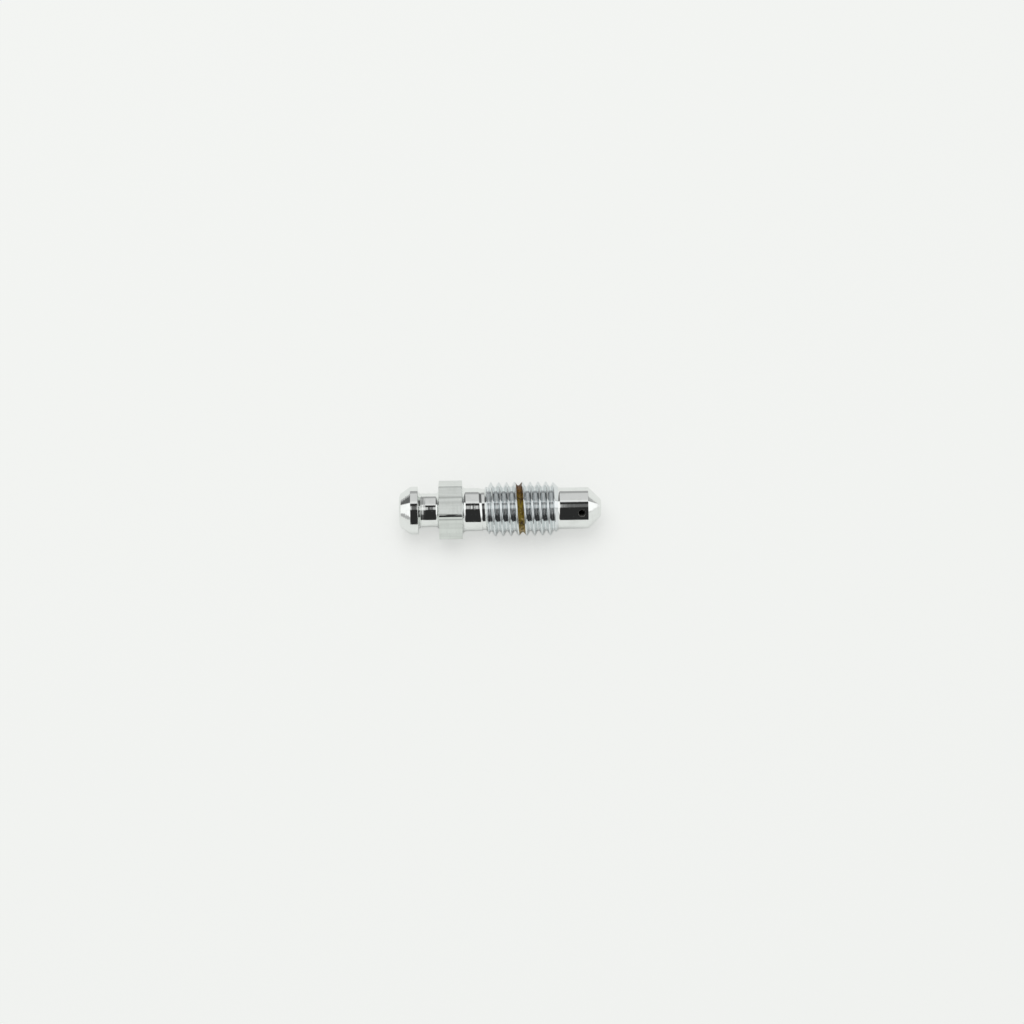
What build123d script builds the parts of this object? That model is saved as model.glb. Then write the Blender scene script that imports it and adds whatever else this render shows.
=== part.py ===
from build123d import *
import os
from math import ceil, cos, radians, sin, tan

# A bleeder screw, lying on its side, in millimetres and degrees.
# The axis of the screw runs along X: the hose end points to -X and the sealing cone to +X.
# The origin is on the axis, where the nose meets the sealing cone. Z is up, so one flat of
# the hexagon and the crests of the thread rest on the surface below.
# An angle about the axis is counted from the top, +Z, towards -Y.

# Hose end
nipple_end_diameter = 3.7
nipple_lip_diameter = 4.42
nipple_lip_length = 0.2
nipple_cone_length = 1.22
barb_diameter = 6.1
barb_land_length = 1.0
barb_edge_chamfer = 0.06
neck_diameter = 4.3
neck_length = 2.64
neck_barb_flare = 0.3
neck_hexagon_flare = 0.3

# Hexagon for the spanner
hexagon_across_flats = 6.9
hexagon_length = 2.99
hexagon_corner_rounding = 0.22

# Shank between the hexagon and the thread
shank_length = 2.28
shank_below_root = 0.09
shank_hexagon_flare = 0.32
relief_length = 0.64
relief_slope_length = 0.24
relief_depth = 0.12

# Thread M7 x 1, right-hand
thread_major_diameter = 6.9
thread_pitch = 1.0
thread_angle = 60.0
thread_length = 9.4
thread_lead_in_turns = 0.55
relief_bevel_angle = 60.0
nose_bevel_angle = 45.0

# Nose and sealing cone
nose_length = 3.72
nose_below_root = 0.2
cone_angle = 90.0
cone_tip_diameter = 2.0
cone_tip_chamfer = 0.1

# Passage for the fluid
bore_diameter = 2.0
bore_point_angle = 118.0
bore_mouth_chamfer = 0.15
cross_hole_diameter = 0.9
cross_hole_setback = 0.85
cross_hole_angle = 34.8

# Dried sealant in one valley of the thread
sealant_first_turn = 4.59
sealant_turns = 0.92
sealant_film = 0.1
sealant_height = 0.46
sealant_clearance = 0.01

# Blend of the gentle concave corners, left by the nose of the turning tool
turning_fillet = 0.35

# Thread form, all from the pitch: a flat crest, straight flanks and a narrow flat root
flank_slope = tan(radians(thread_angle / 2))
thread_depth = thread_pitch / (2 * flank_slope) * 17 / 24
crest_width = thread_pitch / 8
root_width = thread_pitch - crest_width - 2 * thread_depth * flank_slope
crest_radius = thread_major_diameter / 2
root_radius = crest_radius - thread_depth
cutter_overrun = 0.06 * thread_pitch

# Radii of the turned form
shank_radius = root_radius - shank_below_root
relief_radius = shank_radius - relief_depth
nose_radius = root_radius - nose_below_root
neck_radius = neck_diameter / 2
barb_radius = barb_diameter / 2
cone_length = (nose_radius - cone_tip_diameter / 2) / tan(radians(cone_angle / 2))

# Places along the axis, counted back from the origin
thread_right = -nose_length
thread_left = thread_right - thread_length
relief_left = thread_left - relief_length
hexagon_right = relief_left - shank_length
hexagon_left = hexagon_right - hexagon_length
barb_right = hexagon_left - neck_length
barb_left = barb_right - barb_land_length
nipple_end = barb_left - nipple_cone_length - nipple_lip_length
left_crest = thread_left + (crest_radius - relief_radius) / tan(radians(relief_bevel_angle))
right_crest = thread_right - (crest_radius - nose_radius) / tan(radians(nose_bevel_angle))
groove_start = thread_left - thread_lead_in_turns * thread_pitch
groove_turns = ceil(thread_length / thread_pitch + 2 * thread_lead_in_turns)

# Places of the two bores
cross_hole_x = -cross_hole_setback
bore_bottom = cross_hole_x + cross_hole_diameter / 2
bore_point = bore_bottom + bore_diameter / 2 / tan(radians(bore_point_angle / 2))

# The turned profile: place along the axis, radius, and fillet of the corner
turned_profile = [
    (nipple_end, 0, 0),
    (nipple_end, nipple_end_diameter / 2, 0),
    (nipple_end + nipple_lip_length, nipple_lip_diameter / 2, 0),
    (barb_left, barb_radius, 0),
    (barb_right - barb_edge_chamfer, barb_radius, 0),
    (barb_right, barb_radius - barb_edge_chamfer, 0),
    (barb_right, neck_radius + neck_barb_flare, 0),
    (barb_right + neck_barb_flare, neck_radius, 0),
    (hexagon_left - neck_hexagon_flare, neck_radius, turning_fillet),
    (hexagon_left, neck_radius + neck_hexagon_flare, 0),
    (hexagon_right, shank_radius + shank_hexagon_flare, 0),
    (hexagon_right + shank_hexagon_flare, shank_radius, turning_fillet),
    (relief_left, shank_radius, 0),
    (relief_left + relief_slope_length, relief_radius, 0),
    (thread_left, relief_radius, 0),
    (left_crest, crest_radius, 0),
    (right_crest, crest_radius, 0),
    (thread_right, nose_radius, turning_fillet),
    (0, nose_radius, 0),
    (cone_length - cone_tip_chamfer, cone_tip_diameter / 2 + cone_tip_chamfer, 0),
    (cone_length, cone_tip_diameter / 2 - cone_tip_chamfer, 0),
    (cone_length, 0, 0),
]


def axial_plane(x, angle):
    """The half-plane through the axis at an angle: local x runs along the axis, local y outwards."""
    return Plane((x, 0, 0), x_dir=(1, 0, 0), z_dir=(0, -cos(radians(angle)), -sin(radians(angle))))


def groove_half_width(radius):
    """Half the width of the thread's groove at a radius, before the rounding of its root."""
    return root_width / 2 + (radius - root_radius) * flank_slope


os.makedirs("parts", exist_ok=True)

# One turn of the thread cutter, made once and stepped along by the pitch
with BuildPart() as groove_cutter:
    cutter_top = crest_radius + cutter_overrun
    with BuildLine() as groove_path:
        Helix(thread_pitch, thread_pitch, root_radius, center=(groove_start, 0, 0), direction=(1, 0, 0))
    with BuildSketch(axial_plane(groove_start, 0)) as groove_section:
        with BuildLine():
            Polyline(
                (-groove_half_width(cutter_top), cutter_top),
                (-root_width / 2, root_radius),
                (root_width / 2, root_radius),
                (groove_half_width(cutter_top), cutter_top),
                close=True,
            )
        make_face()
    sweep(path=groove_path.line, is_frenet=True)

# Screw body: turned from hexagon bar, threaded, and drilled from the hose end
with BuildPart() as screw_body:
    with BuildSketch(Plane.XY):
        with BuildLine():
            corners = [(x, radius) for x, radius, rounding in turned_profile]
            roundings = [rounding for x, radius, rounding in turned_profile]
            FilletPolyline(*corners, radius=roundings, close=True)
        make_face()
    revolve(axis=Axis.X)

    with BuildSketch(Plane.YZ.offset(hexagon_left)) as hexagon_section:
        RegularPolygon(radius=hexagon_across_flats / 2, side_count=6, major_radius=False)
        fillet(hexagon_section.vertices(), hexagon_corner_rounding)
    extrude(amount=hexagon_length)

    turn_places = [Location((turn * thread_pitch, 0, 0)) for turn in range(groove_turns)]
    add([groove_cutter.part.moved(place) for place in turn_places], mode=Mode.SUBTRACT)

    with BuildSketch(Plane.XY):
        with BuildLine():
            Polyline(
                (nipple_end, 0),
                (nipple_end, bore_diameter / 2 + bore_mouth_chamfer),
                (nipple_end + bore_mouth_chamfer, bore_diameter / 2),
                (bore_bottom, bore_diameter / 2),
                (bore_point, 0),
                close=True,
            )
        make_face()
    revolve(axis=Axis.X, mode=Mode.SUBTRACT)

    outward = (0, -sin(radians(cross_hole_angle)), cos(radians(cross_hole_angle)))
    with Locations(Plane((cross_hole_x, nose_radius * outward[1], nose_radius * outward[2]), z_dir=outward)):
        Hole(radius=cross_hole_diameter / 2, depth=nose_radius)

screw_body.part.label = "screw_body"
export_step(screw_body.part, "parts/screw_body.step")

# Sealant: nearly a full turn that fills the foot of the groove, with a hollow face
with BuildPart() as sealant_band:
    sealant_angle = 360 * (sealant_first_turn % 1)
    sealant_start = groove_start + sealant_first_turn * thread_pitch
    sealant_floor = root_radius + sealant_clearance
    sealant_top = root_radius + sealant_height
    side_clearance = sealant_clearance / cos(radians(thread_angle / 2))
    floor_half_width = groove_half_width(sealant_floor) - side_clearance
    top_half_width = groove_half_width(sealant_top) - side_clearance
    with BuildLine() as sealant_path:
        Helix(
            thread_pitch,
            sealant_turns * thread_pitch,
            root_radius,
            center=(sealant_start, 0, 0),
            direction=(1, 0, 0),
        )
    with BuildSketch(axial_plane(sealant_start, sealant_angle)):
        with BuildLine():
            Polyline(
                (-top_half_width, sealant_top),
                (-floor_half_width, sealant_floor),
                (floor_half_width, sealant_floor),
                (top_half_width, sealant_top),
                (0, sealant_floor + sealant_film),
                close=True,
            )
        make_face()
    sweep(path=sealant_path.line.rotate(Axis.X, sealant_angle), is_frenet=True)

sealant_band.part.label = "sealant_band"
export_step(sealant_band.part, "parts/sealant_band.step")
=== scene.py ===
from math import ceil, cos, floor, pi, radians, sin, tan
from types import SimpleNamespace

import bmesh
import bpy
import numpy as np
from bpy.props import FloatProperty, FloatVectorProperty, PointerProperty
from bpy.types import Operator, Panel, PropertyGroup
from mathutils import Matrix, Vector


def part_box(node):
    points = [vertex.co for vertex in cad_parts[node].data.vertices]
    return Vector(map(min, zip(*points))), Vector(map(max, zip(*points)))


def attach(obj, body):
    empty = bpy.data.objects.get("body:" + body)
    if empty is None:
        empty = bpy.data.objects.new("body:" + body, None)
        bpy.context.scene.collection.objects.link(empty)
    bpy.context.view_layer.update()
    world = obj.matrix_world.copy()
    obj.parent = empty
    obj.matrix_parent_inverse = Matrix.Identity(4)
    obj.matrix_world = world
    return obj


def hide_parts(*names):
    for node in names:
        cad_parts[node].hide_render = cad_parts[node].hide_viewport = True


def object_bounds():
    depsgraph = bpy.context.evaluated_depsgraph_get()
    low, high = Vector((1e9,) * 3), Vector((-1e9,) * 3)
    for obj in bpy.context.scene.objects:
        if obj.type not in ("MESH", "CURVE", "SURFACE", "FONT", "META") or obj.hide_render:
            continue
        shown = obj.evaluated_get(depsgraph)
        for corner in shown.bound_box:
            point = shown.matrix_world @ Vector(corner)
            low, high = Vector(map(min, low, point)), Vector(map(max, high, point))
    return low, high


bl_info = {
    "name": "Bleeder Screw",
    "version": (1, 0, 0),
    "blender": (4, 5, 0),
    "location": "3D View > Sidebar > Bleeder Screw",
    "description": "A plated bleeder screw with a rolled thread and a smear of dried sealant",
    "category": "Object",
}

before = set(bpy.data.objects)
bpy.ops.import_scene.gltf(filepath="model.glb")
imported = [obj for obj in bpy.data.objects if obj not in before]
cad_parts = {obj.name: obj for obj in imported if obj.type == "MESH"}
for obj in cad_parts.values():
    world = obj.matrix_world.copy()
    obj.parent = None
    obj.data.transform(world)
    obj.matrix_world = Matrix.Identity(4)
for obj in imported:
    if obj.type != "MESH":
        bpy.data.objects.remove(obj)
cad_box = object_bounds()

# The screw lies along X, with its hose end to -X and its sealing cone to +X. The origin is on the
# axis, where the nose meets the cone. An angle about the axis is counted from +Z towards -Y.

# Columns round the body, their angles, and the largest turn between two points of an arc
COLUMNS = 192
COLUMN_ANGLES = np.arange(COLUMNS) * 2 * pi / COLUMNS
ARC_STEP = radians(15)
MERGE_DISTANCE = 3e-8

# Sides of the hexagon, and columns on the arc of one of its corners
SECTORS = 6
CORNER_COLUMNS = 8

# The patch round the cross hole, counted from its centre: the block of quads that is taken out,
# the rows and columns that are bent, and how far the patch reaches past the hole along the axis
HOLE_HALF_BLOCK = 6
HOLE_HALF_ROWS = 10
BORE_HALF_COLUMNS = 28
NOSE_HALF_COLUMNS = 11
HOLE_MARGIN = 0.3e-3
HOLE_MARGIN_AT_CONE = 0.28e-3

# Rows along the sealant and points across its face, and the radius at which its colours change
SEALANT_ROWS = 241
SEALANT_SIDE_POINTS = 17
SEALANT_RADIUS = 3.05e-3

# How far up the bevels the helical rows start, and how much of the relief's lean they keep
BEVEL_START = 0.6
RUNOUT_SHARE = 0.4

# Tool marks on the neck, and rows for each
NECK_MARKS = 3
NECK_MARK_ROWS = 8

# Material slots of the screw body
BRIGHT, FLATS, THREAD, BORE, FINE = range(5)


def length(name, description, millimetres):
    """A length property whose default is given in millimetres."""
    default = millimetres / 1000
    return FloatProperty(name=name, description=description, default=default, precision=6, unit="LENGTH")


def turn(name, description, degrees):
    """An angle property whose default is given in degrees."""
    return FloatProperty(name=name, description=description, default=radians(degrees), subtype="ANGLE")


def colour(name, description, default):
    """A colour property, in linear light."""
    return FloatVectorProperty(
        name=name, description=description, default=default, size=3, min=0, max=1, subtype="COLOR"
    )


class ScrewSizes(PropertyGroup):
    """Sizes of the screw body."""

    end_diameter: length("End diameter", "Flat end face of the hose nipple", 3.7)
    lip_diameter: length("Lip diameter", "Small end of the nipple's cone", 4.42)
    lip_length: length("Lip length", "Bevel between the end face and the cone", 0.2)
    nipple_cone_length: length("Nipple cone", "Length of the cone that opens the hose", 1.22)
    barb_diameter: length("Barb diameter", "Land that holds the hose", 6.1)
    barb_length: length("Barb length", "Length of the land", 1.0)
    neck_diameter: length("Neck diameter", "Waist between the barb and the hexagon", 4.3)
    neck_length: length("Neck length", "Length of the waist", 2.64)
    neck_barb_flare: length("Flare at the barb", "Bevel where the neck meets the barb", 0.3)
    neck_hexagon_flare: length("Flare at the hexagon", "Bevel where the neck meets the hexagon", 0.3)
    neck_marks: length("Neck marks", "Depth of the tool marks beside the barb", 0.042)
    neck_mark_spacing: length("Mark spacing", "Feed of the tool beside the barb", 0.3)
    hexagon_flats: length("Across flats", "Width of the hexagon", 6.9)
    hexagon_length: length("Hexagon length", "Length of the hexagon", 2.99)
    hexagon_rounding: length("Hexagon corners", "Rounding of the six long edges", 0.375)
    shank_diameter: length("Shank diameter", "Plain shank beside the hexagon", 5.4932)
    shank_length: length("Shank length", "Plain shank up to the relief", 2.28)
    shank_flare: length("Shank flare", "Bevel where the shank meets the hexagon", 0.32)
    relief_length: length("Relief length", "Groove beside the thread", 0.64)
    relief_depth: length("Relief depth", "Depth of the groove below the shank", 0.12)
    relief_slope: length("Relief slope", "Run of the groove's sloping side", 0.24)
    relief_lean: length("Relief lean", "How far the groove's edge leans along the axis", 0.24)
    relief_lean_turn: turn("Lean turn", "Where the groove's edge crosses its true place", 28)
    relief_bevel: turn("Relief bevel", "Slope of the thread's end at the relief", 60)
    thread_pitch: length("Thread pitch", "Advance of the thread in one turn", 1.0)
    thread_angle: turn("Thread angle", "Angle between the two flanks", 60)
    thread_length: length("Thread length", "Threaded stretch, with its bevels", 9.4)
    thread_lead_in: length("Thread lead in", "How far before the thread its first valley starts", 0.55)
    thread_crest: length("Thread crest", "Half width of the crest before its rounding", 0.062)
    thread_edge: length("Thread edge", "Rounding where a bevel cuts the thread", 0.02)
    nose_bevel: turn("Nose bevel", "Slope of the thread's end at the nose", 45)
    nose_length: length("Nose length", "Plain nose behind the sealing cone", 3.72)
    nose_diameter: length("Nose diameter", "Plain nose", 5.2732)
    cone_length: length("Cone length", "Sealing cone, to its flat tip", 1.6365)
    tip_diameter: length("Tip diameter", "Flat tip of the sealing cone", 2.1)
    tip_chamfer: length("Tip bevel", "Bevel round the tip", 0.1)
    bore_diameter: length("Bore diameter", "Passage from the hose end", 2.0)
    bore_point_angle: turn("Bore point angle", "Drill point at the bottom of the bore", 118)
    bore_mouth: length("Bore mouth", "Bevel round the mouth of the bore", 0.15)
    hole_diameter: length("Cross hole diameter", "Hole from the nose into the bore", 0.9)
    hole_setback: length("Cross hole setback", "Distance of the hole from the cone", 0.85)
    hole_angle: turn("Cross hole angle", "Where the hole is, from the top towards the front", 34.8)
    hole_rim: length("Cross hole rim", "Broken edge of the cross hole", 0.012)
    edge: length("Broken edges", "Rounding of the sharp turned edges", 0.04)
    turning_fillet: length("Tool nose", "Rounding of the gentle concave corners", 0.35)


class SealantSizes(PropertyGroup):
    """Sizes and colours of the dried sealant."""

    first_turn: FloatProperty(name="First turn", description="Turns from the first valley", default=4.59)
    turns: FloatProperty(name="Turns", description="How far the smear runs round", default=0.92)
    half_width: length("Half width", "How far the smear climbs, either side of the valley", 0.385)
    film: length("Film", "Thickness at the foot of the valley", 0.12)
    clearance: length("Clearance", "Gap below the smear", 0.008)
    dark: colour("Dark", "Thick, dried parts", (0.050, 0.026, 0.004))
    brown: colour("Brown", "Reddish brown parts", (0.118, 0.042, 0.006))
    gold: colour("Gold", "Olive gold parts", (0.195, 0.142, 0.018))
    # Tan is the colour of the random flakes, and also of the highlight painted on the smear's front and
    # outer edges
    tan: colour("Tan", "Dry, pale flakes", (0.42, 0.32, 0.15))


class FinishColours(PropertyGroup):
    """Colours of the plating."""

    plating: colour("Plating", "Bright turned faces", (0.810, 0.830, 0.815))
    flats: colour("Flats", "Drawn faces of the hexagon", (0.70, 0.733, 0.705))
    thread: colour("Thread", "Rolled thread", (0.735, 0.768, 0.775))
    bore: colour("Bore", "Bare wall of the passage", (0.30, 0.30, 0.28))
    backdrop: colour("Backdrop", "Floor and background", (0.880, 0.893, 0.873))


class CameraPlace(PropertyGroup):
    """Where the camera stands."""

    elevation: turn("Elevation", "Height of the camera above the horizon", 71.3)
    roll: turn("Roll", "How far the screw's axis climbs to the right", 0.95)
    view_width: length("View width", "What the picture's width covers at the screw", 130.6)
    centre_x: length("Centre along the axis", "Point at the middle of the picture", -9.73)
    centre_drop: length("Centre below the axis", "How far below the axis the middle lies", 0.4)
    lens: FloatProperty(name="Lens", description="Focal length in millimetres", default=200)


class LampPlace(PropertyGroup):
    """The soft lamp behind the screw."""

    elevation: turn("Elevation", "Height of the lamp above the horizon", 74)
    turn: turn("Turn", "How far the lamp stands to the left of straight behind", 25)
    distance: length("Distance", "From the screw to the lamp", 700)
    size: length("Size", "Width of the square lamp", 600)
    power: FloatProperty(name="Power", description="Power in watts", default=2.6)


def sizes():
    """The sizes of the screw body."""
    return bpy.context.scene.screw_sizes


def finish():
    """The colours of the plating."""
    return bpy.context.scene.finish_colours


def places():
    """Places along the axis and radii that follow from the sizes."""
    s = sizes()
    p = SimpleNamespace()
    p.thread_right = -s.nose_length
    p.thread_left = p.thread_right - s.thread_length
    p.relief_left = p.thread_left - s.relief_length
    p.hexagon_right = p.relief_left - s.shank_length
    p.hexagon_left = p.hexagon_right - s.hexagon_length
    p.barb_right = p.hexagon_left - s.neck_length
    p.barb_left = p.barb_right - s.barb_length
    p.end = p.barb_left - s.nipple_cone_length - s.lip_length
    p.neck = s.neck_diameter / 2
    p.shank = s.shank_diameter / 2
    p.relief = p.shank - s.relief_depth
    p.nose = s.nose_diameter / 2
    p.tip = s.cone_length
    p.bore = s.bore_diameter / 2
    p.hole = s.hole_diameter / 2
    p.hole_x = -s.hole_setback
    p.bore_bottom = p.hole_x + p.hole + s.edge
    p.bore_point = p.bore_bottom + p.bore / tan(s.bore_point_angle / 2)
    p.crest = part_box("screw_body")[1].z
    p.root = p.crest - thread_depth()
    p.first_valley = p.thread_left - s.thread_lead_in
    return p


def thread_depth():
    """Height of the thread's crest above its root, from the pitch."""
    s = sizes()
    return s.thread_pitch / (2 * tan(s.thread_angle / 2)) * 17 / 24


def around(x, radius, angle=COLUMN_ANGLES):
    """Points at a place along the axis, a radius and an angle: (x, -r sin a, r cos a)."""
    x, radius, angle = np.broadcast_arrays(x, radius, angle)
    return np.stack([x, -radius * np.sin(angle), radius * np.cos(angle)], axis=-1)


def unit(vector):
    """The vector brought to length 1."""
    return vector / np.hypot(*vector)


def rounded_profile(corners):
    """The profile through the corners (x, radius, rounding), with an arc in each rounded corner.

    A corner that turns by an angle t is cut back by rounding * tan(t / 2) on both sides, and the
    arc's points turn evenly between the two ends about the centre on the corner's bisector.
    """
    points = []
    for index, (x, radius, rounding) in enumerate(corners):
        here = np.array([x, radius])
        if rounding == 0:
            points.append(here)
            continue
        back = unit(np.array(corners[index - 1][:2]) - here)
        ahead = unit(np.array(corners[index + 1][:2]) - here)
        bisector = unit(back + ahead)
        half_turn = pi / 2 - np.arccos(np.clip(back @ ahead, -1, 1)) / 2
        centre = here + bisector * rounding / cos(half_turn)
        steps = max(2, ceil(2 * half_turn / ARC_STEP))
        sweep = np.linspace(-half_turn, half_turn, steps + 1)[:, None]
        across = unit(ahead - back)
        points.extend(centre + rounding * (across * np.sin(sweep) - bisector * np.cos(sweep)))
    return np.array(points)


def turned_rows(corners):
    """A surface of revolution: the rounded profile carried round the axis."""
    profile = rounded_profile(corners)
    return around(profile[:, :1], profile[:, 1:])


def hexagon_ring(x, inset):
    """The hexagon's rounded outline, moved in by the inset, at a place along the axis.

    Each sixth runs from the middle of a flat along it, round the corner's arc and to the middle
    of the next flat, with the same number of columns as a sixth of the turned rows.
    """
    s = sizes()
    apothem = s.hexagon_flats / 2
    rounding = s.hexagon_rounding - inset
    centre = (apothem - s.hexagon_rounding) / cos(pi / SECTORS)
    flat_columns = (COLUMNS // SECTORS - CORNER_COLUMNS) // 2
    sweep = np.linspace(-pi / SECTORS, pi / SECTORS, CORNER_COLUMNS + 1)
    along = centre + rounding * np.cos(sweep)
    across = rounding * np.sin(sweep)
    start = np.array([(apothem - inset) * cos(pi / SECTORS), -(apothem - inset) * sin(pi / SECTORS)])
    share = np.linspace(0, 1, flat_columns + 1)[:-1]
    first = start + (np.array([along[0], across[0]]) - start) * share[:, None]
    last = np.flip(first * [1, -1], axis=0)
    sixth = np.vstack([first, np.stack([along, across], axis=1), last[:-1]])
    angle = np.arctan2(sixth[:, 1], sixth[:, 0]) + pi / SECTORS
    radius = np.hypot(sixth[:, 0], sixth[:, 1])
    turns = np.arange(SECTORS)[:, None] * 2 * pi / SECTORS
    return around(x, np.tile(radius, SECTORS), (angle + turns).ravel())


def hexagon_rows():
    """The hexagon: its two end faces, its broken end edges and its flats, as rows of rings."""
    s, p = sizes(), places()
    sweep = np.linspace(0, pi / 2, 4)
    insets = s.edge * (1 - np.sin(sweep))
    shifts = s.edge * (1 - np.cos(sweep))
    left_edge = [hexagon_ring(p.hexagon_left + shift, inset) for shift, inset in zip(shifts, insets)]
    right_edge = [hexagon_ring(p.hexagon_right - shift, inset) for shift, inset in zip(shifts, insets)]
    left_face = around(p.hexagon_left, p.neck + s.neck_hexagon_flare)
    right_face = around(p.hexagon_right, p.shank + s.shank_flare)
    return np.stack([left_face, *left_edge, *reversed(right_edge), right_face])


def full_round(half_flat, half_angle):
    """Radius of the arc that touches both flanks and the flat between them, of that half width."""
    return half_flat * cos(half_angle) / (1 - sin(half_angle))


def thread_shape():
    """The thread form: half flat of the root, and the radii of the full-round crest and root."""
    s = sizes()
    half_angle = s.thread_angle / 2
    root_half = s.thread_pitch / 2 - s.thread_crest - thread_depth() * tan(half_angle)
    return root_half, full_round(s.thread_crest, half_angle), full_round(root_half, half_angle)


def thread_height(offset):
    """Height above the root at an offset from the valley's middle: round root, flank, round crest."""
    s = sizes()
    half_angle = s.thread_angle / 2
    root_half, crest_round, root_round = thread_shape()
    offset = np.abs(offset)
    from_crest = s.thread_pitch / 2 - offset
    root_arc = root_round - np.sqrt(np.maximum(root_round**2 - offset**2, 0))
    crest_arc = thread_depth() - crest_round + np.sqrt(np.maximum(crest_round**2 - from_crest**2, 0))
    flank = (offset - root_half) / tan(half_angle)
    on_root = offset < root_round * cos(half_angle)
    on_crest = from_crest < crest_round * cos(half_angle)
    return np.where(on_root, root_arc, np.where(on_crest, crest_arc, flank))


def thread_offsets():
    """Offsets from the valley's middle over one pitch, dense on the root's and the crest's arcs."""
    s = sizes()
    half_angle = s.thread_angle / 2
    crest_round, root_round = thread_shape()[1:]
    sweep = np.linspace(-1, 1, 9) * (pi / 2 - half_angle)
    root = root_round * np.sin(sweep)
    crest = s.thread_pitch / 2 + crest_round * np.sin(sweep)
    rise = np.linspace(root[-1], crest[0], 5)[1:-1]
    return np.concatenate([root, rise, crest, s.thread_pitch - np.flip(rise)])


def soft_minimum(first, second, blend):
    """The lower of two heights, with the corner between them rounded over the blend."""
    share = np.clip(0.5 + 0.5 * (second - first) / blend, 0, 1)
    return second * (1 - share) + first * share - blend * share * (1 - share)


def lean():
    """How far the relief's edge stands off its place along the axis, round the columns: a sine."""
    s = sizes()
    return s.relief_lean * np.sin(COLUMN_ANGLES - s.relief_lean_turn)


def relief_bevel(x):
    """Radius of the bevel between the relief and the thread, at places along the axis."""
    return places().relief + (x - places().thread_left) * tan(sizes().relief_bevel)


def nose_bevel(x):
    """Radius of the bevel between the thread and the nose, at places along the axis."""
    return places().nose + (places().thread_right - x) * tan(sizes().nose_bevel)


def thread_ends():
    """Where the helical rows start and stop: part of the way up the two bevels, below the root."""
    s, p = sizes(), places()
    left = p.thread_left + BEVEL_START * (p.root - p.relief) / tan(s.relief_bevel)
    right = p.thread_right - BEVEL_START * (p.root - p.nose) / tan(s.nose_bevel)
    return left, right


def thread_rows():
    """The thread as rows that climb with it, and how many rows one turn climbs.

    Row k, column a: x = first valley + offset(k) + pitch * a / 2 pi, held between the two ends,
    and radius = the softer of root + height(offset(k)) and the bevels' cones. The left bevel
    leans with the relief.
    """
    s, p = sizes(), places()
    left, right = thread_ends()
    leaning = lean() * RUNOUT_SHARE
    offsets = thread_offsets()
    first_turn = floor((left - p.first_valley) / s.thread_pitch) - 2
    turns = np.arange(first_turn, ceil(s.thread_length / s.thread_pitch) + 2)
    start = (p.first_valley + turns[:, None] * s.thread_pitch + offsets).ravel()
    nearest = np.where(offsets > s.thread_pitch / 2, offsets - s.thread_pitch, offsets)
    form = np.tile(p.root + thread_height(nearest), len(turns))
    x = np.clip(start[:, None] + s.thread_pitch * COLUMN_ANGLES / (2 * pi), left + leaning, right)
    bevels = np.minimum(relief_bevel(x - leaning), nose_bevel(x))
    radius = soft_minimum(form[:, None], bevels, s.thread_edge)
    return around(x, radius), len(offsets)


def hole_rows(reach_left, reach_right):
    """Places along the axis for the rows round the cross hole, from left to right."""
    centre = places().hole_x
    left = np.linspace(centre - reach_left, centre, HOLE_HALF_ROWS + 1)
    right = np.linspace(centre, centre + reach_right, HOLE_HALF_ROWS + 1)
    return np.concatenate([left, right[1:]])


def open_hole(rows, first_row, rim, half_columns):
    """Opens the cross hole in a grid of turned rows: bends the rows round it onto its rim.

    A point of the patch lies on a square ring about the hole's centre. It goes to a share t of
    the way from the rim's circle to the patch's border, where t is 0 on the block that is taken
    out and 1 on the border. Returns the grid and a mask of the quads that stay.
    """
    s, p = sizes(), places()
    half_rows = HOLE_HALF_ROWS
    centre_row = first_row + half_rows
    centre_column = round(s.hole_angle / (2 * pi) * COLUMNS)
    radius = np.hypot(rows[centre_row, 0, 1], rows[centre_row, 0, 2])
    place = rows[:, 0, 0]
    heading = np.sign(place[centre_row + 1] - place[centre_row])
    down, over = np.meshgrid(
        np.arange(-half_rows, half_rows + 1), np.arange(-half_columns, half_columns + 1), indexing="ij"
    )
    past = half_rows - HOLE_HALF_BLOCK, half_columns - HOLE_HALF_BLOCK
    past_rows = (np.abs(down) - HOLE_HALF_BLOCK) / past[0]
    past_columns = (np.abs(over) - HOLE_HALF_BLOCK) / past[1]
    share = np.clip(np.maximum(past_rows, past_columns), 0, 1)
    a = down / (HOLE_HALF_BLOCK + share * past[0])
    b = over / (HOLE_HALF_BLOCK + share * past[1])
    quarter = pi / 4
    sideways = np.where(a >= 0, b * quarter, pi - b * quarter)
    upright = np.where(b >= 0, pi / 2 - a * quarter, 3 * pi / 2 + a * quarter)
    circle = np.where(np.abs(a) >= np.abs(b), sideways, upright)
    border_x = np.interp(centre_row + a * half_rows, np.arange(len(place)), place)
    border_angle = b * half_columns * 2 * pi / COLUMNS + centre_column * 2 * pi / COLUMNS
    rim_x = p.hole_x + heading * rim * np.cos(circle)
    rim_angle = s.hole_angle + np.arcsin(rim * np.sin(circle) / radius)
    x = (1 - share) * rim_x + share * border_x
    angle = (1 - share) * rim_angle + share * border_angle
    row_index = centre_row + down
    column_index = (centre_column + over) % COLUMNS
    rows = rows.copy()
    rows[row_index, column_index] = around(x, radius, angle)
    keep = np.ones((len(rows) - 1, COLUMNS), bool)
    block = np.arange(-HOLE_HALF_BLOCK, HOLE_HALF_BLOCK)
    keep[np.ix_(centre_row + block, (centre_column + block) % COLUMNS)] = False
    return rows, keep


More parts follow.
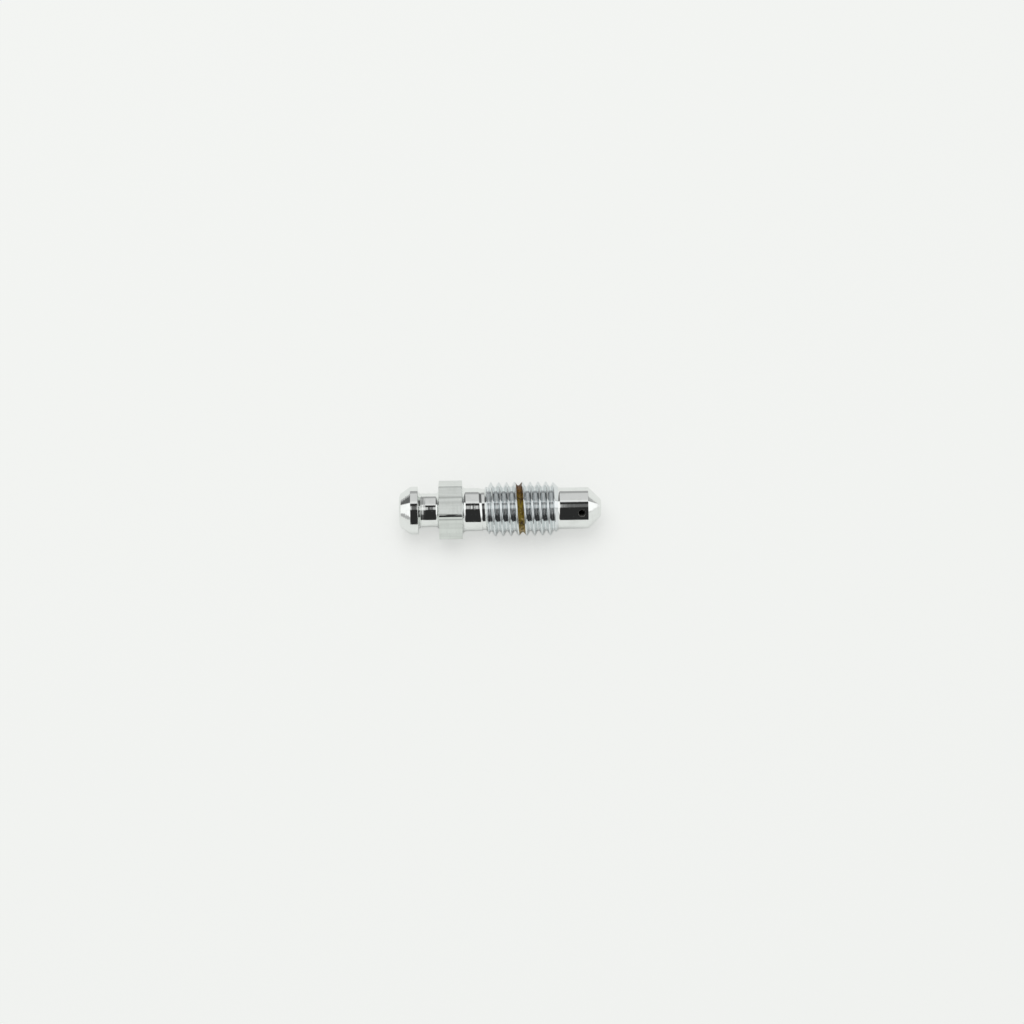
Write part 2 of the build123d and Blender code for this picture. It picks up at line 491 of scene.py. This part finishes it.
def hole_wall():
    """The cross hole's wall, from the bore out to the broken rim on the nose.

    Ring k has the hole's radius, widened near the nose by rim * (1 - cos), and its height at a
    point is the bore's or the nose's surface there, or the straight line between them.
    """
    s, p = sizes(), places()
    count = 8 * HOLE_HALF_BLOCK
    circle = np.arange(count) * 2 * pi / count
    outward = np.array([0, -sin(s.hole_angle), cos(s.hole_angle)])
    sideways = np.array([0, -cos(s.hole_angle), -sin(s.hole_angle)])
    sweep = np.linspace(0, pi / 2, 5)
    widths = np.concatenate([[p.hole], p.hole + s.hole_rim * (1 - np.cos(sweep))])
    drops = np.concatenate([[0], s.hole_rim * (1 - np.sin(sweep))])
    surface = np.concatenate([[p.bore], np.full(len(sweep), p.nose)])
    across = widths[:, None] * np.sin(circle)
    height = np.sqrt(surface[:, None] ** 2 - across**2) - drops[:, None]
    x = p.hole_x + widths[:, None] * np.cos(circle)
    along = np.zeros((*x.shape, 3))
    along[..., 0] = x
    return along + height[..., None] * outward + across[..., None] * sideways


def bore_rows():
    """The passage, from its drill point back to the bevel at its mouth, with the cross hole open."""
    s, p = sizes(), places()
    stations = np.flip(hole_rows(p.hole + HOLE_MARGIN, p.hole + s.edge / 2))
    corners = [
        (p.bore_point, 0, 0),
        (p.bore_bottom, p.bore, 0),
        *[(x, p.bore, 0) for x in stations],
        (p.end + s.bore_mouth, p.bore, s.edge),
        (p.end, p.bore + s.bore_mouth, 0),
    ]
    return open_hole(turned_rows(corners), 2, p.hole, BORE_HALF_COLUMNS)


def neck_mark_corners(start):
    """The tool marks beside the barb: depth * (1 - cos(2 pi u)) / 2, shallower mark by mark."""
    s, p = sizes(), places()
    u = np.arange(NECK_MARKS * NECK_MARK_ROWS + 1) / NECK_MARK_ROWS
    swell = s.neck_marks * (1 - np.cos(2 * pi * u)) / 2 * (1 - u / (NECK_MARKS + 1))
    return [(start + s.neck_mark_spacing * turn, p.neck + rise, 0) for turn, rise in zip(u, swell)]


def hose_end_rows():
    """The end face, the nipple's cone, the barb and the neck, up to the hexagon."""
    s, p = sizes(), places()
    barb = s.barb_diameter / 2
    corners = [
        (p.end, p.bore + s.bore_mouth, 0),
        (p.end, s.end_diameter / 2, s.edge),
        (p.end + s.lip_length, s.lip_diameter / 2, s.edge),
        (p.barb_left, barb, s.edge * 2),
        (p.barb_right, barb, s.edge * 1.5),
        (p.barb_right, p.neck + s.neck_barb_flare, s.edge),
        (p.barb_right + s.neck_barb_flare, p.neck, s.edge * 2),
        *neck_mark_corners(p.barb_right + s.neck_barb_flare + s.edge),
        (p.hexagon_left - s.neck_hexagon_flare, p.neck, s.turning_fillet),
        (p.hexagon_left, p.neck + s.neck_hexagon_flare, 0),
    ]
    return turned_rows(corners)


def shank_rows():
    """The shank and the relief groove, up to the bevel where the thread starts.

    The places along the axis are shifted by the lean: in full at the groove's edge, by a share
    of it in the groove, and not at all where the shank's fillet ends.
    """
    s, p = sizes(), places()
    left = thread_ends()[0]
    profile = rounded_profile(
        [
            (p.hexagon_right, p.shank + s.shank_flare, 0),
            (p.hexagon_right + s.shank_flare, p.shank, s.turning_fillet),
            (p.relief_left, p.shank, s.edge * 2),
            (p.relief_left + s.relief_slope, p.relief, s.edge * 2),
            (p.thread_left, p.relief, s.edge * 2),
            (left, relief_bevel(left), 0),
        ]
    )
    plain = p.hexagon_right + s.shank_flare + s.turning_fillet
    stations = [plain, p.relief_left, p.relief_left + s.relief_slope]
    share = np.interp(profile[:, 0], stations, [0, 1, RUNOUT_SHARE])
    return around(profile[:, :1] + share[:, None] * lean(), profile[:, 1:])


def nose_rows():
    """The last bevel of the thread, the nose with the cross hole open, the cone and the tip."""
    s, p = sizes(), places()
    right = thread_ends()[1]
    before = [
        (right, nose_bevel(right), 0),
        (p.thread_right, p.nose, s.turning_fillet),
    ]
    stations = hole_rows(p.hole + HOLE_MARGIN, p.hole + HOLE_MARGIN_AT_CONE)
    wall = [(x, p.nose, 0) for x in stations]
    after = [
        (0, p.nose, s.edge),
        (p.tip - s.tip_chamfer, s.tip_diameter / 2 + s.tip_chamfer, s.edge / 2),
        (p.tip, s.tip_diameter / 2 - s.tip_chamfer, s.edge / 2),
        (p.tip, 0, 0),
    ]
    rows = turned_rows(before + wall + after)
    first = len(rounded_profile(before + wall)) - len(wall)
    return open_hole(rows, first, p.hole + s.hole_rim, NOSE_HALF_COLUMNS)


def grid_quads(rows, climb=0):
    """Quads of a grid that closes round its columns, the last joined to the first, climb rows up."""
    count, columns = rows.shape[:2]
    index = np.arange(count * columns).reshape(count, columns)
    wrapped = index[np.minimum(np.arange(count) + climb, count - 1), 0]
    beside = np.hstack([index[:, 1:], wrapped[:, None]])
    return np.stack([index[:-1], beside[:-1], beside[1:], index[1:]], axis=-1)


def make_mesh(name, parts, materials):
    """One closed mesh from several grids, each given as (points, quads, material index)."""
    points, faces, slots = [], [], []
    start = 0
    for grid, quads, slot in parts:
        flat = quads.reshape(-1, 4)
        points.append(grid.reshape(-1, 3))
        faces.append(flat + start)
        slots.append(np.full(len(flat), slot))
        start += grid.size // 3
    mesh = bpy.data.meshes.new(name)
    mesh.from_pydata(np.concatenate(points).tolist(), [], np.concatenate(faces).tolist())
    for material in materials:
        mesh.materials.append(material)
    mesh.polygons.foreach_set("material_index", np.concatenate(slots).astype(np.int32))
    work = bmesh.new()
    work.from_mesh(mesh)
    bmesh.ops.remove_doubles(work, verts=work.verts, dist=MERGE_DISTANCE)
    loose = [vertex for vertex in work.verts if not vertex.link_faces]
    bmesh.ops.delete(work, geom=loose, context="VERTS")
    for face in work.faces:
        face.smooth = True
    work.to_mesh(mesh)
    work.free()
    mesh.update()
    return mesh


def new_object(name, data):
    """An object that holds the data, in the scene."""
    made = bpy.data.objects.new(name, data)
    bpy.context.scene.collection.objects.link(made)
    return made


def link_piece(name, mesh):
    """Puts a mesh into the scene as a piece that rides on the screw."""
    piece = new_object(name, mesh)
    piece.modifiers.new("even_faces", "WEIGHTED_NORMAL").thresh = 0
    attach(piece, "root")
    return piece


def is_output(value):
    """Whether a value is another node's output."""
    return isinstance(value, bpy.types.NodeSocket)


def feed(tree, sockets, values):
    """Gives each socket its value, or joins it to another node's output."""
    for socket, value in zip(sockets, values):
        if is_output(value):
            tree.links.new(value, socket)
        else:
            socket.default_value = value


def node(tree, kind, settings=None, **inputs):
    """Adds a node, sets its settings and its inputs; an input is a value or another node's output."""
    made = tree.nodes.new(kind)
    for key, value in (settings or {}).items():
        setattr(made, key, value)
    feed(tree, [made.inputs[key.replace("_", " ")] for key in inputs], inputs.values())
    return made


def calc(tree, operation, *values):
    """A Math node on values or outputs."""
    made = node(tree, "ShaderNodeMath", {"operation": operation})
    feed(tree, made.inputs, values)
    return made.outputs[0]


def step_between(tree, value, low, high, start=0.0, end=1.0):
    """A smooth step of a value from one level to another."""
    smooth = {"interpolation_type": "SMOOTHSTEP"}
    levels = {"From_Min": low, "From_Max": high, "To_Min": start, "To_Max": end}
    return node(tree, "ShaderNodeMapRange", smooth, Value=value, **levels).outputs[0]


def noise(tree, position, scale, detail, roughness=0.5):
    """3-D noise, its scale given in features a metre."""
    return node(
        tree, "ShaderNodeTexNoise", Vector=position, Scale=scale, Detail=detail, Roughness=roughness
    ).outputs[0]


def line_noise(tree, place, detail, roughness=0.5):
    """Noise along a single value."""
    inputs = {"W": place, "Scale": 1.0, "Detail": detail, "Roughness": roughness}
    return node(tree, "ShaderNodeTexNoise", {"noise_dimensions": "1D"}, **inputs).outputs[0]


def mix_colours(tree, share, first, second, blend="MIX"):
    """Mixes two colours by a share; a colour is three numbers or another node's output."""
    made = node(tree, "ShaderNodeMix", {"data_type": "RGBA", "blend_type": blend}, Factor=share)
    colours = [value if is_output(value) else (*value, 1) for value in (first, second)]
    feed(tree, made.inputs[6:8], colours)
    return made.outputs[2]


def mix_shaders(tree, share, first, second):
    """Mixes two shaders by a share."""
    made = node(tree, "ShaderNodeMixShader")
    feed(tree, made.inputs, (share, first, second))
    return made.outputs[0]


def new_group(name, inputs, outputs):
    """A shader node group with named sockets. Returns the tree and its input and output nodes."""
    tree = bpy.data.node_groups.new(name, "ShaderNodeTree")
    for socket, kind, default in inputs:
        made = tree.interface.new_socket(socket, in_out="INPUT", socket_type=kind)
        if default is not None:
            made.default_value = default
    for socket, kind in outputs:
        tree.interface.new_socket(socket, in_out="OUTPUT", socket_type=kind)
    return tree, tree.nodes.new("NodeGroupInput"), tree.nodes.new("NodeGroupOutput")


def turning_marks():
    """Rings left by the turning tool: noise along the axis alone, broken a little by 3-D noise."""
    tree, given, result = new_group(
        "turning_marks",
        [
            ("Position", "NodeSocketVector", None),
            ("Rings per metre", "NodeSocketFloat", 4000.0),
            ("Break up", "NodeSocketFloat", 0.3),
        ],
        [("Height", "NodeSocketFloat"), ("Streak", "NodeSocketFloat")],
    )
    axes = node(tree, "ShaderNodeSeparateXYZ", Vector=given.outputs["Position"])
    drift = noise(tree, given.outputs["Position"], 450.0, 2.0)
    along = calc(tree, "MULTIPLY", axes.outputs["X"], given.outputs["Rings per metre"])
    along = calc(tree, "ADD", along, calc(tree, "MULTIPLY", drift, given.outputs["Break up"]))
    rings = line_noise(tree, along, 3.0, 0.6)
    coarse = line_noise(tree, calc(tree, "MULTIPLY", along, 0.22), 1.0)
    height = calc(tree, "ADD", rings, calc(tree, "MULTIPLY", coarse, 1.2))
    tree.links.new(height, result.inputs["Height"])
    tree.links.new(step_between(tree, rings, 0.45, 0.75), result.inputs["Streak"])
    return tree


def handling_grime():
    """Faint stains and specks from handling: two scales of 3-D noise, thresholded softly."""
    tree, given, result = new_group(
        "handling_grime",
        [
            ("Position", "NodeSocketVector", None),
            ("Colour", "NodeSocketColor", (0.8, 0.8, 0.8, 1.0)),
            ("Stain", "NodeSocketFloat", 0.3),
        ],
        [("Colour", "NodeSocketColor"), ("Mask", "NodeSocketFloat")],
    )
    cloudy = step_between(tree, noise(tree, given.outputs["Position"], 700.0, 4.0, 0.6), 0.48, 0.72)
    specks = step_between(tree, noise(tree, given.outputs["Position"], 4200.0, 2.0), 0.66, 0.74)
    mask = calc(tree, "ADD", cloudy, calc(tree, "MULTIPLY", specks, 0.7))
    mask = calc(tree, "MINIMUM", mask, 1.0)
    share = calc(tree, "MULTIPLY", mask, given.outputs["Stain"])
    stained = mix_colours(tree, share, given.outputs["Colour"], (0.42, 0.42, 0.38), "MULTIPLY")
    tree.links.new(stained, result.inputs["Colour"])
    tree.links.new(mask, result.inputs["Mask"])
    return tree


def new_material(name):
    """A material with a Principled shader, its tree and the Object coordinates."""
    material = bpy.data.materials.new(name)
    material.use_nodes = True
    tree = material.node_tree
    shader = tree.nodes["Principled BSDF"]
    position = tree.nodes.new("ShaderNodeTexCoord").outputs["Object"]
    return material, tree, shader, position


def join_surface(tree, shader, colour, roughness, height, relief, strength=1.0):
    """Joins a colour, a roughness and a height to the shader; the relief is the height's depth."""
    tree.links.new(colour, shader.inputs["Base Color"])
    tree.links.new(roughness, shader.inputs["Roughness"])
    bump = node(tree, "ShaderNodeBump", Height=height, Strength=strength, Distance=relief)
    tree.links.new(bump.outputs[0], shader.inputs["Normal"])


def use_group(tree, build, **inputs):
    """Places the node group of a function's name in a material. It is built the first time."""
    group = bpy.data.node_groups.get(build.__name__) or build()
    return node(tree, "ShaderNodeGroup", {"node_tree": group}, **inputs)


# Colour, metallic, roughness, what the turning marks add to it at most, their rings by the metre,
# their depth in metres, how far they are broken up, and the stain. The nose, the barb and the
# nipple were turned more finely than the rest. The bore's wall is drilled and bare: darker grey
# than the plating, only half metallic, rougher and more stained.
METALS = {
    "bright_plating": ("plating", 1, 0.05, 0.08, 2600.0, 1.2e-5, 0.3, 0.12),
    "fine_plating": ("plating", 1, 0.05, 0.06, 2600.0, 0.9e-5, 0.3, 0.12),
    "thread_plating": ("thread", 1, 0.03, 0.04, 9000.0, 0.15e-6, 1.5, 0.12),
    "bore_wall": ("bore", 0.5, 0.34, 0.15, 4000.0, 4e-6, 0.3, 0.5),
}


def metal(name):
    """A metal: tinted, faintly stained, with turning marks in its roughness and its relief."""
    key, metallic, roughness, spread, rings, ring_depth, break_up, stain = METALS[name]
    material, tree, shader, position = new_material(name)
    shader.inputs["Metallic"].default_value = metallic
    tint = (*getattr(finish(), key), 1)
    grime = use_group(tree, handling_grime, Position=position, Colour=tint, Stain=stain)
    marks = use_group(tree, turning_marks, Position=position, Rings_per_metre=rings, Break_up=break_up)
    rough = calc(tree, "MULTIPLY_ADD", marks.outputs["Streak"], spread, roughness)
    rough = calc(tree, "MULTIPLY_ADD", grime.outputs["Mask"], stain * 0.3, rough)
    join_surface(tree, shader, grime.outputs["Colour"], rough, marks.outputs["Height"], ring_depth)
    return material


def line_on_flat(turn_of_flat, offset):
    """Where a line along the bar lies on a flat: (0, y, z), the offset counted like the turns."""
    apothem = sizes().hexagon_flats / 2
    outward = Vector((0, -sin(turn_of_flat), cos(turn_of_flat)))
    return apothem * outward + offset * Vector((0, -cos(turn_of_flat), -sin(turn_of_flat)))


def near_line(tree, position, place, reach):
    """1 on a line along the bar, falling to 0 at its reach."""
    across = node(tree, "ShaderNodeVectorMath", {"operation": "MULTIPLY"})
    feed(tree, across.inputs, (position, (0, 1, 1)))
    away = node(tree, "ShaderNodeVectorMath", {"operation": "DISTANCE"})
    feed(tree, away.inputs, (across.outputs[0], place))
    return step_between(tree, away.outputs["Value"], 0.3 * reach, reach, 1.0, 0.0)


def streaks(tree, position, along, across, detail):
    """Noise drawn out along the bar: its scales along it and across it."""
    stretched = node(tree, "ShaderNodeMapping", Vector=position, Scale=(along, across, across)).outputs[0]
    return noise(tree, stretched, 1.0, detail, 0.6)


# Lines that the drawing die left on two flats: turn of the flat in degrees, offset and reach in
# metres, and how much of the colour is kept
DRAW_LINES = [
    (0, -0.50e-3, 0.19e-3, 0.74),
    (0, 0.14e-3, 0.25e-3, 0.90),
    (60, -1.37e-3, 0.16e-3, 0.62),
]


def flats_material():
    """Satin flats of the hexagon: fine lines along the bar, a few deeper ones and faint scuffs."""
    material, tree, shader, position = new_material("hexagon_plating")
    shader.inputs["Metallic"].default_value = 1
    grime = use_group(tree, handling_grime, Position=position, Colour=(*finish().flats, 1), Stain=0.1)
    bands = streaks(tree, position, 70.0, 1700.0, 2.0)
    lines = streaks(tree, position, 300.0, 6000.0, 3.0)
    scuffs = streaks(tree, position, 3600.0, 500.0, 2.0)
    kept = step_between(tree, bands, 0.35, 0.65, 1.0, 0.90)
    kept = calc(tree, "MULTIPLY", kept, step_between(tree, scuffs, 0.5, 0.75, 1.0, 0.94))
    for turn_of_flat, offset, reach, share in DRAW_LINES:
        near = near_line(tree, position, line_on_flat(radians(turn_of_flat), offset), reach)
        kept = calc(tree, "MULTIPLY", kept, calc(tree, "MULTIPLY_ADD", near, share - 1, 1.0))
    shade = node(
        tree, "ShaderNodeVectorMath", {"operation": "SCALE"}, Vector=grime.outputs["Colour"], Scale=kept
    )
    rough = step_between(tree, lines, 0.35, 0.7, 0.08, 0.13)
    height = calc(tree, "ADD", lines, calc(tree, "MULTIPLY", scuffs, 0.5))
    join_surface(tree, shader, shade.outputs[0], rough, height, relief=0.2e-6)
    return material


def sealant_material():
    """Dried sealant: brown at the back and gold in front, dark where thick, with pale tan flakes; more tan
    is painted as a highlight over its front and along its frontmost and backmost edges.
    """
    look = bpy.context.scene.sealant_sizes
    material, tree, shader, position = new_material("dried_sealant")
    back = node(tree, "ShaderNodeSeparateXYZ", Vector=position).outputs["Y"]
    patches = noise(tree, position, 1500.0, 5.0, 0.65)
    flakes = noise(tree, position, 2600.0, 4.0, 0.7)
    fine = noise(tree, position, 9000.0, 3.0)
    reach = SEALANT_RADIUS
    front = step_between(tree, back, reach * 0.8, -reach * 0.1)
    colour_there = mix_colours(tree, front, look.brown, look.gold)
    thick = step_between(tree, patches, 0.44, 0.60)
    colour_there = mix_colours(tree, thick, colour_there, look.dark)
    # Painted highlight: pale tan pushed up over the front half and at the frontmost and backmost edges, on
    # top of the random flakes
    painted_highlight = step_between(tree, back, 0.0, -reach * 0.8, 0.0, 0.10)
    painted_highlight = calc(tree, "ADD", painted_highlight, step_between(tree, back, -reach * 0.94, -reach, 0.0, 0.14))
    painted_highlight = calc(tree, "ADD", painted_highlight, step_between(tree, back, reach * 0.92, reach * 0.98, 0.0, 0.16))
    pale_flakes_and_highlight = step_between(tree, calc(tree, "ADD", flakes, painted_highlight), 0.66, 0.74)
    colour_there = mix_colours(tree, pale_flakes_and_highlight, colour_there, look.tan)
    rough = step_between(tree, fine, 0.3, 0.7, 0.35, 0.62)
    height = calc(tree, "MULTIPLY_ADD", patches, 2.0, fine)
    join_surface(tree, shader, colour_there, rough, height, relief=1.6e-5, strength=0.8)
    return material


def sealant_rows():
    """The smear as a closed skin carried along nearly one turn of the valley.

    Across a section the lower skin is the valley's own form plus the clearance, and the upper
    skin is film + rise * |offset / half width| ** 1.6 with lumps, which meets the lower one at
    both edges and stays a share of the film above it in between. Along the smear the half width
    and the film fall to nothing at both ends, and waves of a few lengths make the edges ragged.
    """
    s, p, look = sizes(), places(), bpy.context.scene.sealant_sizes
    along = np.linspace(0, 1, SEALANT_ROWS)[:, None]
    angle = 2 * pi * (look.first_turn + along * look.turns)
    middle = p.first_valley + s.thread_pitch * angle / (2 * pi)
    ends = np.clip(np.minimum(along, 1 - along) * 9, 0, 1) ** 0.5
    ragged = 0.05 * np.sin(angle * 7.3 + 0.4) + 0.04 * np.sin(angle * 17.1 + 2) + 0.03 * np.sin(angle * 41)
    half_width = look.half_width * ends * (1 + ragged)
    shift = look.half_width * 0.05 * ends * np.sin(angle * 5.7 + 1.3)
    across = np.cos(np.linspace(0, pi, SEALANT_SIDE_POINTS))
    there = np.sin(np.linspace(0, pi, SEALANT_SIDE_POINTS)) ** 2
    lumps = 1 + 0.2 * np.sin(angle * 11.9 + 3 * across) + 0.15 * np.sin(angle * 27 + 5 * across)
    offset = half_width * across + shift * there
    floor_height = thread_height(offset) + look.clearance
    edge_height = thread_height(half_width) + look.clearance
    film = look.film * ends
    meniscus = film + (edge_height - film) * np.abs(across) ** 1.6
    upper = np.maximum(meniscus + film * (lumps - 1) * there, floor_height + film * 0.25 * there)
    x = np.hstack([middle + offset, np.flip(middle + offset, axis=1)[:, 1:-1]])
    radius = p.root + np.hstack([upper, np.flip(floor_height, axis=1)[:, 1:-1]])
    return around(x, radius, angle)


class BuildScrewBody(Operator):
    """Build the plated screw body, with its rolled thread and its cross hole"""

    bl_idname = "bleeder_screw.body"
    bl_label = "Screw Body"

    def execute(self, context):
        bore, bore_keep = bore_rows()
        nose, nose_keep = nose_rows()
        thread, climb = thread_rows()
        hose_end, hexagon, shank, wall = hose_end_rows(), hexagon_rows(), shank_rows(), hole_wall()
        materials = [
            metal("bright_plating"),
            flats_material(),
            metal("thread_plating"),
            metal("bore_wall"),
            metal("fine_plating"),
        ]
        hose_quads = grid_quads(hose_end)
        fine_rows = np.count_nonzero(hose_end[:, 0, 0] < places().barb_right + sizes().edge / 2)
        parts = [
            (bore, grid_quads(bore)[bore_keep], BORE),
            (hose_end, hose_quads[: fine_rows - 1], FINE),
            (hose_end, hose_quads[fine_rows - 1 :], BRIGHT),
            (hexagon, grid_quads(hexagon), FLATS),
            (shank, grid_quads(shank), BRIGHT),
            (thread, grid_quads(thread, climb), THREAD),
            (nose, grid_quads(nose)[nose_keep], FINE),
            (wall, grid_quads(wall), BORE),
        ]
        piece = link_piece("plated_screw", make_mesh("plated_screw", parts, materials))
        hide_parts("screw_body")
        return {"FINISHED"}


class BuildSealantBand(Operator):
    """Build the smear of dried sealant in one valley of the thread"""

    bl_idname = "bleeder_screw.sealant"
    bl_label = "Dried Sealant"

    def execute(self, context):
        rows = sealant_rows()
        parts = [(rows, grid_quads(rows), 0)]
        piece = link_piece("sealant_smear", make_mesh("sealant_smear", parts, [sealant_material()]))
        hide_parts("sealant_band")
        return {"FINISHED"}


def build_floor():
    """A wide pale floor under the screw. Seen from below it is clear."""
    low = cad_box[0].z
    reach = 3.0
    mesh = bpy.data.meshes.new("floor")
    corners = [(-reach, -reach, low), (reach, -reach, low), (reach, reach, low), (-reach, reach, low)]
    mesh.from_pydata(corners, [], [(0, 1, 2, 3)])
    plane = new_object("floor", mesh)
    material = bpy.data.materials.new("pale_floor")
    material.use_nodes = True
    tree = material.node_tree
    shader = tree.nodes["Principled BSDF"]
    shader.inputs["Base Color"].default_value = (*finish().backdrop, 1)
    shader.inputs["Roughness"].default_value = 0.9
    shader.inputs["Specular IOR Level"].default_value = 0.0
    plain = node(tree, "ShaderNodeEmission", Color=(*finish().backdrop, 1))
    rays = tree.nodes.new("ShaderNodeLightPath").outputs
    share = calc(tree, "MULTIPLY", rays["Is Glossy Ray"], PLAIN_SHARE_IN_METAL)
    share = calc(tree, "MULTIPLY_ADD", rays["Is Camera Ray"], PLAIN_SHARE, share)
    pale = mix_shaders(tree, share, shader.outputs[0], plain.outputs[0])
    behind = tree.nodes.new("ShaderNodeNewGeometry").outputs["Backfacing"]
    clear = tree.nodes.new("ShaderNodeBsdfTransparent").outputs[0]
    shown = mix_shaders(tree, behind, pale, clear)
    tree.links.new(shown, tree.nodes["Material Output"].inputs["Surface"])
    mesh.materials.append(material)


# The surroundings that shine in the metal, laid over each other in this order. Each has its level
# and the directions that it covers: how far to either side, to the back and up, and its edge.
SURROUNDINGS = [
    ("white card on each side", 1.20, (0.34, 2.0), (-0.30, 0.32), (-1.0, 2.0), 0.03),
    ("card's part beside the camera", 1.20, (0.47, 2.0), (-0.66, -0.25), (-1.0, 2.0), 0.08),
    ("gap under the cards", 0.50, (0.82, 2.0), (-0.66, -0.24), (-1.0, 0.20), 0.03),
    ("low wall at the back", 0.50, (0.30, 2.0), (0.32, 2.0), (-1.0, 0.12), 0.03),
    ("bright edge of the back card", 0.88, (-1.0, 0.32), (0.255, 0.49), (0.0, 2.0), 0.02),
    ("back card", 0.72, (-1.0, 0.32), (0.44, 2.0), (0.30, 2.0), 0.03),
    ("wall under the back card", 0.44, (-1.0, 0.32), (0.42, 2.0), (-1.0, 0.29), 0.03),
    ("open room over the camera", 0.03, (-1.0, 0.32), (-2.0, 0.24), (-1.0, 2.0), 0.012),
    ("open room behind the camera", 0.03, (-1.0, 0.42), (-2.0, -0.34), (-1.0, 2.0), 0.06),
    ("lamps beside the camera", 0.90, (0.10, 0.36), (-0.26, 0.03), (0.5, 2.0), 0.05),
    ("lens between the lamps", 0.16, (-1.0, 0.10), (-0.26, 0.03), (0.5, 2.0), 0.05),
]

# Level of the directions that no card covers, and of the even light on what doesn't shine
ROOM_LEVEL = 0.15
FILL_LEVEL = 0.60

# How much of the floor's colour is plain backdrop, for the camera and for the metal's reflections
PLAIN_SHARE = 0.57
PLAIN_SHARE_IN_METAL = 0.1


def between(tree, value, low, high, edge):
    """1 where a value lies between two limits, and 0 past a soft edge on both sides."""
    rise = step_between(tree, value, low - edge, low + edge)
    return calc(tree, "MULTIPLY", rise, step_between(tree, value, high - edge, high + edge, 1.0, 0.0))


def build_world():
    """Soft surroundings: cards round the screw shine in its metal, and an even light fills the rest."""
    world = bpy.data.worlds.new("studio")
    bpy.context.scene.world = world
    world.use_nodes = True
    world.cycles.sampling_method = "NONE"
    tree = world.node_tree
    background = tree.nodes["Background"]
    direction = tree.nodes.new("ShaderNodeTexCoord").outputs["Generated"]
    axes = node(tree, "ShaderNodeSeparateXYZ", Vector=direction)
    sideways = calc(tree, "ABSOLUTE", axes.outputs["X"])
    level = ROOM_LEVEL
    for name, card, side, back, up, edge in SURROUNDINGS:
        covered = between(tree, sideways, *side, edge)
        covered = calc(tree, "MULTIPLY", covered, between(tree, axes.outputs["Y"], *back, edge))
        covered = calc(tree, "MULTIPLY", covered, between(tree, axes.outputs["Z"], *up, edge))
        covered.node.label = name
        level = calc(tree, "MULTIPLY_ADD", covered, calc(tree, "SUBTRACT", card, level), level)
    rays = tree.nodes.new("ShaderNodeLightPath")
    light = mix_colours(tree, rays.outputs["Is Glossy Ray"], [FILL_LEVEL] * 3, level)
    shown = mix_colours(tree, rays.outputs["Is Camera Ray"], light, finish().backdrop)
    tree.links.new(shown, background.inputs["Color"])


def build_lamp():
    """A wide soft lamp high up behind the screw, a little to the left. It doesn't shine in the metal."""
    place = bpy.context.scene.lamp_place
    lamp = bpy.data.lights.new("soft_lamp", "AREA")
    lamp.size = place.size
    lamp.energy = place.power
    holder = new_object("soft_lamp", lamp)
    level = cos(place.elevation)
    toward = Vector((-sin(place.turn) * level, cos(place.turn) * level, sin(place.elevation)))
    aim = toward.to_track_quat("Z", "Y").to_matrix().to_4x4()
    holder.matrix_world = Matrix.Translation(toward * place.distance) @ aim
    holder.visible_glossy = False
    holder.visible_camera = False


def build_camera():
    """The camera, in front of the screw and well above it, turned so that the axis climbs."""
    place = bpy.context.scene.camera_place
    up = Vector((0, sin(place.elevation), cos(place.elevation)))
    back = Vector((0, -cos(place.elevation), sin(place.elevation)))
    right = Vector((1, 0, 0)) * cos(place.roll) - up * sin(place.roll)
    top = up * cos(place.roll) + Vector((1, 0, 0)) * sin(place.roll)
    camera = bpy.data.cameras.new("camera")
    camera.lens = place.lens
    distance = place.view_width * place.lens / camera.sensor_width
    target = Vector((place.centre_x, 0, 0)) - up * place.centre_drop
    camera.clip_start, camera.clip_end = distance / 100, distance * 20
    holder = new_object("camera", camera)
    turned = Matrix((right, top, back)).transposed().to_4x4()
    holder.matrix_world = Matrix.Translation(target + back * distance) @ turned
    bpy.context.scene.camera = holder


class BuildStage(Operator):
    """Build the floor, the surroundings and the camera"""

    bl_idname = "bleeder_screw.stage"
    bl_label = "Stage"

    def execute(self, context):
        build_floor()
        build_world()
        build_lamp()
        build_camera()
        context.scene.view_settings.view_transform = "Standard"
        return {"FINISHED"}


class BleederScrewPanel(Panel):
    """The sizes, the colours and the build steps of the bleeder screw"""

    bl_idname = "VIEW3D_PT_bleeder_screw"
    bl_label = "Bleeder Screw"
    bl_space_type = "VIEW_3D"
    bl_region_type = "UI"
    bl_category = "Bleeder Screw"

    def draw(self, context):
        for operator in OPERATORS:
            self.layout.operator(operator.bl_idname)
        for holder in SETTINGS:
            settings = getattr(context.scene, holder)
            box = self.layout.box()
            for key in settings.__annotations__:
                box.prop(settings, key)


SETTINGS = {
    "screw_sizes": ScrewSizes,
    "sealant_sizes": SealantSizes,
    "finish_colours": FinishColours,
    "camera_place": CameraPlace,
    "lamp_place": LampPlace,
}
OPERATORS = (BuildScrewBody, BuildSealantBand, BuildStage)


def register():
    """Registers the classes and hangs the settings on the scene."""
    for holder, settings in SETTINGS.items():
        bpy.utils.register_class(settings)
        setattr(bpy.types.Scene, holder, PointerProperty(type=settings))
    for operator in OPERATORS:
        bpy.utils.register_class(operator)
    bpy.utils.register_class(BleederScrewPanel)


def unregister():
    """Takes the classes and the settings away again."""
    bpy.utils.unregister_class(BleederScrewPanel)
    for operator in reversed(OPERATORS):
        bpy.utils.unregister_class(operator)
    for holder, settings in reversed(SETTINGS.items()):
        delattr(bpy.types.Scene, holder)
        bpy.utils.unregister_class(settings)


def main():
    """Builds the screw and its stage."""
    register()
    bpy.ops.bleeder_screw.body()
    bpy.ops.bleeder_screw.sealant()
    bpy.ops.bleeder_screw.stage()


if __name__ == "__main__":
    main()
